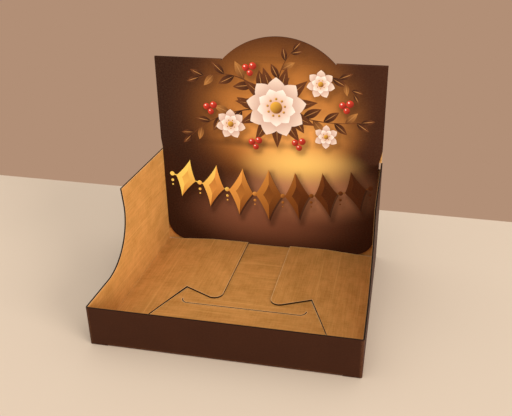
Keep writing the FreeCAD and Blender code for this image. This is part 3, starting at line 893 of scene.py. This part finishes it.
def inkOver(tree, colour, ink, pattern, share=1.0):
    # An ink laid over a colour where a pattern of 0 to 1 shows, by at most that share. Inputs 6
    # and 7 are a Mix node's two colours, and output 2 is its mixed one.
    cover = addNode(tree, "Math", {0: pattern, 1: share}, operation="MULTIPLY")
    return addNode(tree, "Mix", {0: cover, 6: colour, 7: ink}, 2, data_type="RGBA")


flutePitch = 3.4  # E-flute has about 300 flutes to a metre


def flutes(tree):
    # A sine wave of 0 to 1 along the blank: the flutes run up the walls, in from the hinges.
    place = addNode(tree, "UVMap", uv_map="blank")
    along = addNode(tree, "SeparateXYZ", {0: place})
    turn = 2 * math.pi / (flutePitch * mm)
    angle = addNode(tree, "Math", {0: along, 1: turn}, operation="MULTIPLY")
    wave = addNode(tree, "Math", {0: angle}, operation="SINE")
    return addNode(tree, "Math", {0: wave, 1: 0.5, 2: 0.5}, operation="MULTIPLY_ADD")


def relief(tree, fine, share, reach):
    # Bump of the flutes that telegraph through the liner, and of a finer pattern on them.
    height = addNode(tree, "Math", {0: fine, 1: share, 2: flutes(tree)}, operation="MULTIPLY_ADD")
    return addNode(tree, "Bump", {"Height": height, "Strength": 1.0, "Distance": reach * mm})


# Lithographed paper, laminated on the board and varnished: an even dark brown, faintly mottled,
# with a low satin sheen, the flutes just showing through, and rubbed paler on its creases.
printInk = {
    "brown": "#3B1D0E",
    "mottle": "#381B0D",
    "rubbed": "#7A4E30",
    "mottleSize": (34, 26),
    "fineSize": (2.2, 1.6),
    "fineShare": 0.04,
    "rubShare": 0.35,
    "tooth": (0.9, 0.7),
    "toothShare": 0.12,
    "reliefReach": 0.02,  # height of the relief in mm
    "roughness": (0.5, 0.6),
    "sheen": 0.1,
}


def varnish(tree, colour, mottle):
    # The printed colour under its varnish, duller where the mottle is high.
    rough = addNode(tree, "MapRange", {"Value": mottle, "To Min": printInk["roughness"][0],
                                       "To Max": printInk["roughness"][1]})
    tooth = grain(tree, printInk["tooth"], detail=2.0)
    bump = relief(tree, tooth, printInk["toothShare"], printInk["reliefReach"])
    shader = addNode(tree, "BsdfPrincipled", {"Base Color": colour, "Roughness": rough,
                                              "Specular IOR Level": printInk["sheen"],
                                              "Normal": bump})
    addNode(tree, "OutputMaterial", {"Surface": shader})


def makePrint():
    material, tree = newMaterial("lithoPrintedPaper")
    mottle = grain(tree, printInk["mottleSize"])
    fine = grain(tree, printInk["fineSize"], detail=4.0)
    colour = inkOver(tree, printInk["mottle"], printInk["brown"], mottle)
    colour = inkOver(tree, colour, printInk["rubbed"], fine, printInk["fineShare"])
    crease = addNode(tree, "Attribute", output="Fac", attribute_name="crease")
    rubbed = addNode(tree, "Math", {0: crease, 1: fine}, operation="MULTIPLY")
    colour = inkOver(tree, colour, printInk["rubbed"], rubbed, printInk["rubShare"])
    varnish(tree, colour, mottle)
    return material


# The same varnished paper on the header, printed with soft fields of amber, gold and rose on
# dark brown. The flowers and gems are inks of the mesh's own attribute.
headerInk = {
    "ground": "#2D1308",
    "groundRight": "#3E1D0E",
    "fields": [  # ink, middle x and height, half sizes, full within, gone beyond, share
        ("#74401C", (4, 184), (138, 128), 0.25, 1.0, 1.0),
        ("#B36E2C", (10, 184), (122, 106), 0.1, 1.0, 1.0),
        ("#DE8E42", (20, 174), (108, 90), 0.0, 1.0, 1.0),
        ("#F2A856", (30, 154), (84, 68), 0.0, 1.0, 0.8),
        ("#9C6244", (2, 50), (136, 66), 0.1, 1.0, 0.85),
        ("#DE9A6B", (52, 88), (106, 54), 0.0, 1.0, 0.95),
        ("#FFCB6C", (40, 121), (90, 34), 0.0, 1.0, 1.0),
    ],
    "shadow": "#2E1509",
    "shadowBand": ((-20, 145), (96, 8)),  # under the flowers
    "bandShare": 0.5,
    "fineShare": 0.02,
    "pale": "#E9B987",
}


def field(tree, centre, halves, inner, outer):
    # 1 in the middle of an ellipse on the header and 0 outside it, by a smooth step. Its size
    # from front to back is so long that it counts for nothing.
    place = addNode(tree, "TexCoord", output="Object")
    long = 1e3
    middle = (centre[0] * mm, 0, centre[1] * mm)
    size = (halves[0] * mm, long, halves[1] * mm)
    centred = addNode(tree, "Mapping", {"Vector": place, "Location": middle, "Scale": size},
                      vector_type="TEXTURE")
    away = addNode(tree, "VectorMath", {0: centred}, "Value", operation="LENGTH")
    return addNode(tree, "MapRange", {"Value": away, "From Min": inner, "From Max": outer,
                                      "To Min": 1.0, "To Max": 0.0},
                   interpolation_type="SMOOTHSTEP")


def makeHeader():
    material, tree = newMaterial("lithoPrintedHeader")
    place = addNode(tree, "TexCoord", output="Object")
    across = addNode(tree, "SeparateXYZ", {0: place})
    right = addNode(tree, "MapRange", {"Value": across, "From Min": -halfWidth * mm,
                                       "From Max": halfWidth * mm})
    colour = inkOver(tree, headerInk["ground"], headerInk["groundRight"], right)
    for ink, centre, halves, inner, outer, share in headerInk["fields"]:
        colour = inkOver(tree, colour, ink, field(tree, centre, halves, inner, outer), share)
    band = field(tree, *headerInk["shadowBand"], 0.0, 1.0)
    colour = inkOver(tree, colour, headerInk["shadow"], band, headerInk["bandShare"])
    shade = addNode(tree, "Attribute", output="Fac", attribute_name="inkShadow")
    colour = inkOver(tree, colour, headerInk["shadow"], shade)
    ink = addNode(tree, "Attribute", output="Color", attribute_name="ink")
    cover = addNode(tree, "Attribute", output="Alpha", attribute_name="ink")
    colour = inkOver(tree, colour, ink, cover)
    fine = grain(tree, printInk["fineSize"], detail=4.0)
    colour = inkOver(tree, colour, headerInk["pale"], fine, headerInk["fineShare"])
    varnish(tree, colour, grain(tree, printInk["mottleSize"]))
    return material


# Unbleached kraft liner, rolled on a paper machine: warm tan, softly mottled, with a plaid of
# short streaks, fine fibres and long pale drag lines along the creases. It is dull. Its creases
# are darker, partly crushed board and partly painted shade in the fold, and beside each cut
# lies a pale rim, partly the die's scuff and partly a painted edge highlight.
kraft = {
    "dark": "#AC722F",
    "middle": "#C68642",
    "light": "#E0A55B",
    "speckAndCreaseShade": "#8A5528",
    # pale rim beside the cuts: die scuff with a painted edge highlight
    "rim": "#F0CB96",
    "mottleSize": (26, 19),
    "patterns": [  # ink, feature size, detail, spread and share
        ("light", (26, 1.7), 3.0, (0.35, 0.65), 0.22),
        ("light", (2.3, 15), 2.0, (0.3, 0.7), 0.2),
        ("dark", (60, 3.0), 2.0, (0.45, 0.7), 0.35),
        ("light", (3.2, 0.9), 4.0, (0.3, 0.7), 0.16),
        ("light", (230, 3.2), 1.0, (0.6, 0.72), 0.4),
        ("speckAndCreaseShade", (1.4, 0.8), 2.0, (0.67, 0.76), 0.3),
    ],
    # crease darkening: partly crushed board, partly painted shade in the fold
    "crushAndShadeShare": 0.2,
    "rimScuffAndHighlightShare": 0.65,
    "fibreSize": (3.2, 0.9),
    "fibreShare": 0.4,
    "reliefReach": 0.045,
    "roughness": 0.82,
    "sheen": 0.2,
}


def makeKraft():
    material, tree = newMaterial("kraftLiner")
    colour = inkOver(tree, kraft["dark"], kraft["middle"], grain(tree, kraft["mottleSize"]))
    for ink, size, detail, spread, share in kraft["patterns"]:
        colour = inkOver(tree, colour, kraft[ink], grain(tree, size, detail, spread), share)
    # Painted shade darkens the crushed creases; a painted highlight lightens the die-scuffed cut
    # rims.
    for name, ink, share in (("crease", "speckAndCreaseShade", "crushAndShadeShare"), ("cutRim", "rim", "rimScuffAndHighlightShare")):
        wearAndPaintedLight = addNode(tree, "Attribute", output="Fac", attribute_name=name)
        colour = inkOver(tree, colour, kraft[ink], wearAndPaintedLight, kraft[share])
    fibre = grain(tree, kraft["fibreSize"], detail=4.0)
    bump = relief(tree, fibre, kraft["fibreShare"], kraft["reliefReach"])
    shader = addNode(tree, "BsdfPrincipled", {"Base Color": colour,
                                              "Roughness": kraft["roughness"],
                                              "Specular IOR Level": kraft["sheen"],
                                              "Normal": bump})
    addNode(tree, "OutputMaterial", {"Surface": shader})
    return material


# Die-cut edge of the board: two thin liners with the fluted sheet waving between them, over
# hollows painted nearly black as their shade. Along the flutes the same section shows as long
# dark slots.
cutEdge = {
    # painted shade: the flute hollows are not modelled, so their shadow is painted nearly black
    "hollow": "#0C0805",
    "flute": "#3A2415",
    "outerLiner": "#170D08",
    "innerLiner": "#9A6A3A",
    "fluteSpan": (0.22, 0.72),  # shares of the board's thickness, from the printed face
    "fluteHalf": 0.08,
    "outerEnd": 0.15,
    "innerStart": 0.87,
    "soft": 0.04,
    "tornSize": (1.2, 0.9),
    "tornShare": 0.2,
    "reliefReach": 0.2,
    "roughness": 0.9,
    "sheen": 0.2,
}


def makeCutEdge():
    material, tree = newMaterial("dieCutFluteEdge")
    depth = addNode(tree, "Attribute", output="Fac", attribute_name="depth")
    low, high = cutEdge["fluteSpan"]
    wave = addNode(tree, "MapRange", {"Value": flutes(tree), "To Min": low, "To Max": high})
    gap = addNode(tree, "Math", {0: depth, 1: wave}, operation="SUBTRACT")
    gap = addNode(tree, "Math", {0: gap}, operation="ABSOLUTE")
    half, soft = cutEdge["fluteHalf"], cutEdge["soft"]
    sheet = addNode(tree, "MapRange", {"Value": gap, "From Min": half - soft,
                                       "From Max": half + soft, "To Min": 1.0, "To Max": 0.0})
    end, start = cutEdge["outerEnd"], cutEdge["innerStart"]
    outer = addNode(tree, "MapRange", {"Value": depth, "From Min": end, "From Max": end + soft,
                                       "To Min": 1.0, "To Max": 0.0})
    inner = addNode(tree, "MapRange", {"Value": depth, "From Min": start - soft,
                                       "From Max": start})
    colour = inkOver(tree, cutEdge["hollow"], cutEdge["flute"], sheet)
    colour = inkOver(tree, colour, cutEdge["outerLiner"], outer)
    colour = inkOver(tree, colour, cutEdge["innerLiner"], inner)
    # dark torn patches, laid in the hollows' painted shade colour
    torn = grain(tree, cutEdge["tornSize"])
    colour = inkOver(tree, colour, cutEdge["hollow"], torn, cutEdge["tornShare"])
    bump = addNode(tree, "Bump", {"Height": gap, "Strength": 1.0,
                                  "Distance": cutEdge["reliefReach"] * mm})
    shader = addNode(tree, "BsdfPrincipled", {"Base Color": colour,
                                              "Roughness": cutEdge["roughness"],
                                              "Specular IOR Level": cutEdge["sheen"],
                                              "Normal": bump})
    addNode(tree, "OutputMaterial", {"Surface": shader})
    return material


for material in (makePrint(), makeHeader(), makeKraft(), makeCutEdge()):
    stand.data.materials.append(material)
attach(stand, "root")
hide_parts("display_stand")
print("materials made")

studio = {
    "cameraPlace": (0.1547, -0.5985, 0.4129),
    "cameraTilt": 24.21,  # down from level, in degrees
    "cameraTurn": 10.92,
    "lens": 44.25,
    "shift": (-0.0511, -0.0367),
    "nearest": 0.01,  # from the camera, to what it still shows
    "table": "#DFC8AF",
    "tableRoughness": 0.75,
    "tableSheen": 0.2,
    "tableReach": 5.0,
    "tableEdge": (0.2596, -0.0219),  # the table's back edge: its y at x 0, and its slope
    "backdrop": "#B28F76",
    "fill": 0.78,  # level of the even light from all round
    "lamps": {  # kind, place, width in degrees or metres, and strength
        "farSoftbox": ("SUN", (2.01, -1.16, 0.52), 32, 2.6),
        "topSoftbox": ("AREA", (0.2, -0.9, 2.0), 1.6, 9),
    },
}


def makeCamera():
    camera = bpy.data.objects.new("camera", bpy.data.cameras.new("camera"))
    camera.location = studio["cameraPlace"]
    camera.rotation_euler = (math.radians(90 - studio["cameraTilt"]), 0,
                             math.radians(studio["cameraTurn"]))
    camera.data.lens = studio["lens"]
    camera.data.shift_x, camera.data.shift_y = studio["shift"]
    camera.data.clip_start = studio["nearest"]
    bpy.context.collection.objects.link(camera)
    bpy.context.scene.camera = camera


def makeTable():
    # A painted table top, matt and pale; it ends behind the stand, and the backdrop starts.
    reach = studio["tableReach"]
    edge, slant = studio["tableEdge"]
    mesh = bpy.data.meshes.new("tableTop")
    mesh.from_pydata([(-reach, -reach, 0), (reach, -reach, 0), (reach, edge + slant * reach, 0),
                      (-reach, edge - slant * reach, 0)], [], [(0, 1, 2, 3)])
    table = bpy.data.objects.new("tableTop", mesh)
    material, tree = newMaterial("paintedTable")
    shader = addNode(tree, "BsdfPrincipled", {"Base Color": studio["table"],
                                              "Roughness": studio["tableRoughness"],
                                              "Specular IOR Level": studio["tableSheen"]})
    addNode(tree, "OutputMaterial", {"Surface": shader})
    mesh.materials.append(material)
    bpy.context.collection.objects.link(table)


def makeLight():
    # Even white light from all round; camera, glossy and transmitted rays see the backdrop.
    world = bpy.data.worlds.new("studio")
    bpy.context.scene.world = world
    world.use_nodes = True
    tree = world.node_tree
    tree.nodes.clear()
    seen = addNode(tree, "LightPath", output="Is Camera Ray")
    for kind in ("Is Glossy Ray", "Is Transmission Ray"):
        rays = addNode(tree, "LightPath", output=kind)
        seen = addNode(tree, "Math", {0: seen, 1: rays}, operation="MAXIMUM")
    light = addNode(tree, "Background", {"Color": "#FFFFFF", "Strength": studio["fill"]})
    backdrop = addNode(tree, "Background", {"Color": studio["backdrop"]})
    mix = addNode(tree, "MixShader", {0: seen, 1: light, 2: backdrop})
    addNode(tree, "OutputWorld", {"Surface": mix})
    for name, (kind, place, width, strength) in studio["lamps"].items():
        lamp = bpy.data.objects.new(name, bpy.data.lights.new(name, kind))
        if kind == "SUN":
            lamp.data.angle = math.radians(width)
        else:
            lamp.data.size = width
        lamp.data.energy = strength
        lamp.location = place
        lamp.rotation_euler = (-lamp.location).to_track_quat("-Z", "Y").to_euler()
        bpy.context.collection.objects.link(lamp)


makeCamera()
makeTable()
makeLight()
bpy.context.scene.view_settings.view_transform = "Standard"
print("studio set")
